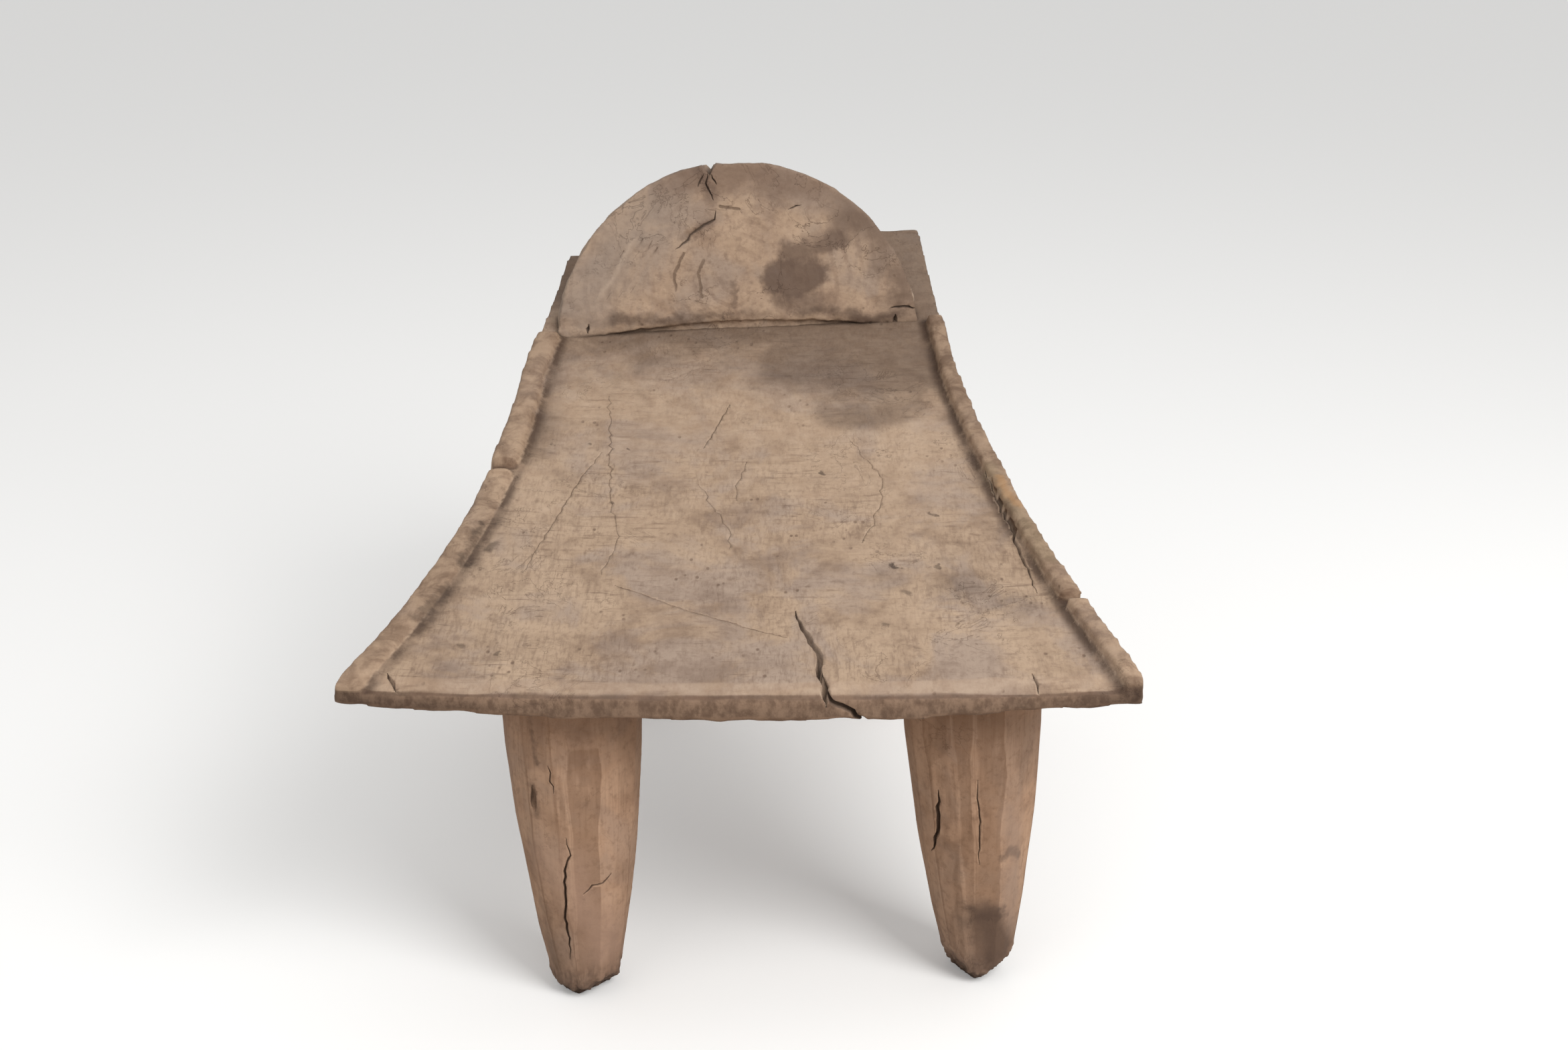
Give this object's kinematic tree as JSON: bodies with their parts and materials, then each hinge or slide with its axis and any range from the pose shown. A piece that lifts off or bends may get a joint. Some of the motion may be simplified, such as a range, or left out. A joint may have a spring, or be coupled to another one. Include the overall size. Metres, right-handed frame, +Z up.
{
  "type": "carved wooden headrest chair",
  "caption": "Low carved wooden headrest chair: scooped board widening to the front, raised side rims, upright half-disc headrest and round tapered legs.",
  "frame": {"origin": "on the ground under the centre of the object's box", "axes": "+Z up, the wide front edge faces -Y, the headrest and tail are towards +Y, +X is to the right seen from the front"},
  "size_m": [0.578, 0.708, 0.5492],
  "materials": {
    "board_wood": "weathered, adzed, lightly polished by use",
    "rim_wood": "weathered and worn, dark in its inner corner",
    "headrest_wood": "weathered end grain with drying checks",
    "leg_wood": "weathered, adzed in long facets, dark worn tips"
  },
  "bodies": {
    "root": {"seat_board": "board_wood", "left_rear_rim": "rim_wood", "left_front_rim": "rim_wood", "right_rear_rim": "rim_wood", "right_front_rim": "rim_wood", "headrest_panel": "headrest_wood", "headrest_left_foot": "headrest_wood", "headrest_right_foot": "headrest_wood", "front_left_leg": "leg_wood", "front_right_leg": "leg_wood", "rear_left_leg": "leg_wood", "rear_right_leg": "leg_wood"}
  },
  "joints": []
}
